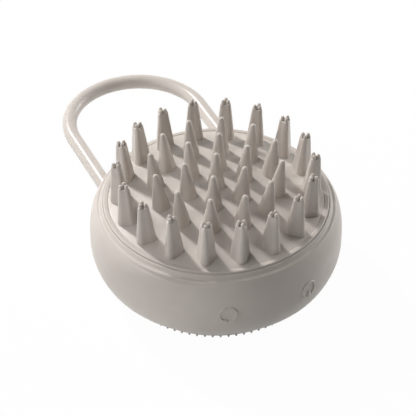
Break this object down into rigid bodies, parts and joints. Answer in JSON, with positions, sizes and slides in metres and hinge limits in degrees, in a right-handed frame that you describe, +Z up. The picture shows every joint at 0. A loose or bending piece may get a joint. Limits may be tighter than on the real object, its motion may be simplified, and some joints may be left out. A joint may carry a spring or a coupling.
{
  "type": "electric scalp massager",
  "caption": "Round palm-sized vibrating scalp massager: soft-jacketed body, domed pad of pointed cones and forked prongs, two press keys in the wall and a soft hang loop.",
  "frame": {"origin": "centre of the underside, in the plane that the body rests on", "axes": "+Z up through the brush pad, +Y towards the hang loop, the two keys in the wall at -Y"},
  "size_m": [0.086, 0.1388, 0.0517],
  "materials": {
    "jacket_silicone": "satin soft-touch silicone, warm greige",
    "pad_silicone": "satin silicone, warm greige",
    "loop_silicone": "satin silicone, warm greige",
    "key_silicone": "satin silicone, warm greige",
    "shell_plastic": "moulded, fine texture",
    "seal_rubber": "matt black rubber",
    "screw_steel": "zinc-plated steel",
    "motor_steel": "drawn steel",
    "weight_metal": "sintered metal",
    "magnet_ferrite": "sintered, matt",
    "copper_winding": "enamelled copper",
    "contact_gold": "gold-plated",
    "board_laminate": "green solder mask",
    "chip_black": "moulded epoxy",
    "socket_ivory": "moulded nylon",
    "cell_foil": "aluminium pouch foil",
    "foam_grey": "open-cell foam",
    "port_plastic": "moulded, satin",
    "lead_red": "wire insulation",
    "lead_blue": "wire insulation",
    "lead_yellow": "wire insulation"
  },
  "bodies": {
    "housing": {"soft_jacket": "jacket_silicone", "upper_shell": "shell_plastic", "lower_shell": "shell_plastic", "shell_screws": "screw_steel", "grip_pad": "pad_silicone", "brush_pad": "pad_silicone", "massage_cones": "pad_silicone", "forked_prongs": "pad_silicone", "brush_carrier": "shell_plastic", "carrier_seal": "seal_rubber", "carrier_screws": "screw_steel", "hang_loop": "loop_silicone", "mode_switch": "motor_steel", "mode_board": "board_laminate", "power_switch": "motor_steel", "power_board": "board_laminate", "main_board": "board_laminate", "board_chips": "chip_black", "wire_sockets": "socket_ivory", "board_screws": "screw_steel", "battery": "cell_foil", "battery_foam": "foam_grey", "motor_can": "motor_steel", "motor_end_cap": "socket_ivory", "motor_magnets": "magnet_ferrite", "motor_bracket": "motor_steel", "bracket_screws": "screw_steel", "charge_port": "port_plastic", "charge_pins": "contact_gold", "charge_magnets": "screw_steel", "battery_leads": "lead_red", "motor_leads": "lead_blue", "key_leads": "lead_yellow", "charge_leads": "lead_red"},
    "mode_button": {"mode_key": "key_silicone", "mode_plunger": "shell_plastic", "mode_switch_cap": "chip_black"},
    "power_button": {"power_key": "key_silicone", "power_plunger": "shell_plastic", "power_switch_cap": "chip_black"},
    "rotor": {"motor_shaft": "screw_steel", "motor_armature": "copper_winding", "eccentric_weight": "weight_metal"}
  },
  "joints": [
    {"name": "mode_press", "type": "slide", "parent": "housing", "child": "mode_button", "axis": [0.342, 0.9397, 0], "range_m": [0, 0.0005], "stiffness_N_per_m": 4000, "springref_m": -0.0002},
    {"name": "power_press", "type": "slide", "parent": "housing", "child": "power_button", "axis": [-0.342, 0.9397, 0], "range_m": [0, 0.0005], "stiffness_N_per_m": 4000, "springref_m": -0.0002},
    {"name": "motor_spin", "type": "hinge", "parent": "housing", "child": "rotor", "pos_m": [0, 0, 0.02707], "axis": [1, 0, 0], "continuous": true}
  ]
}
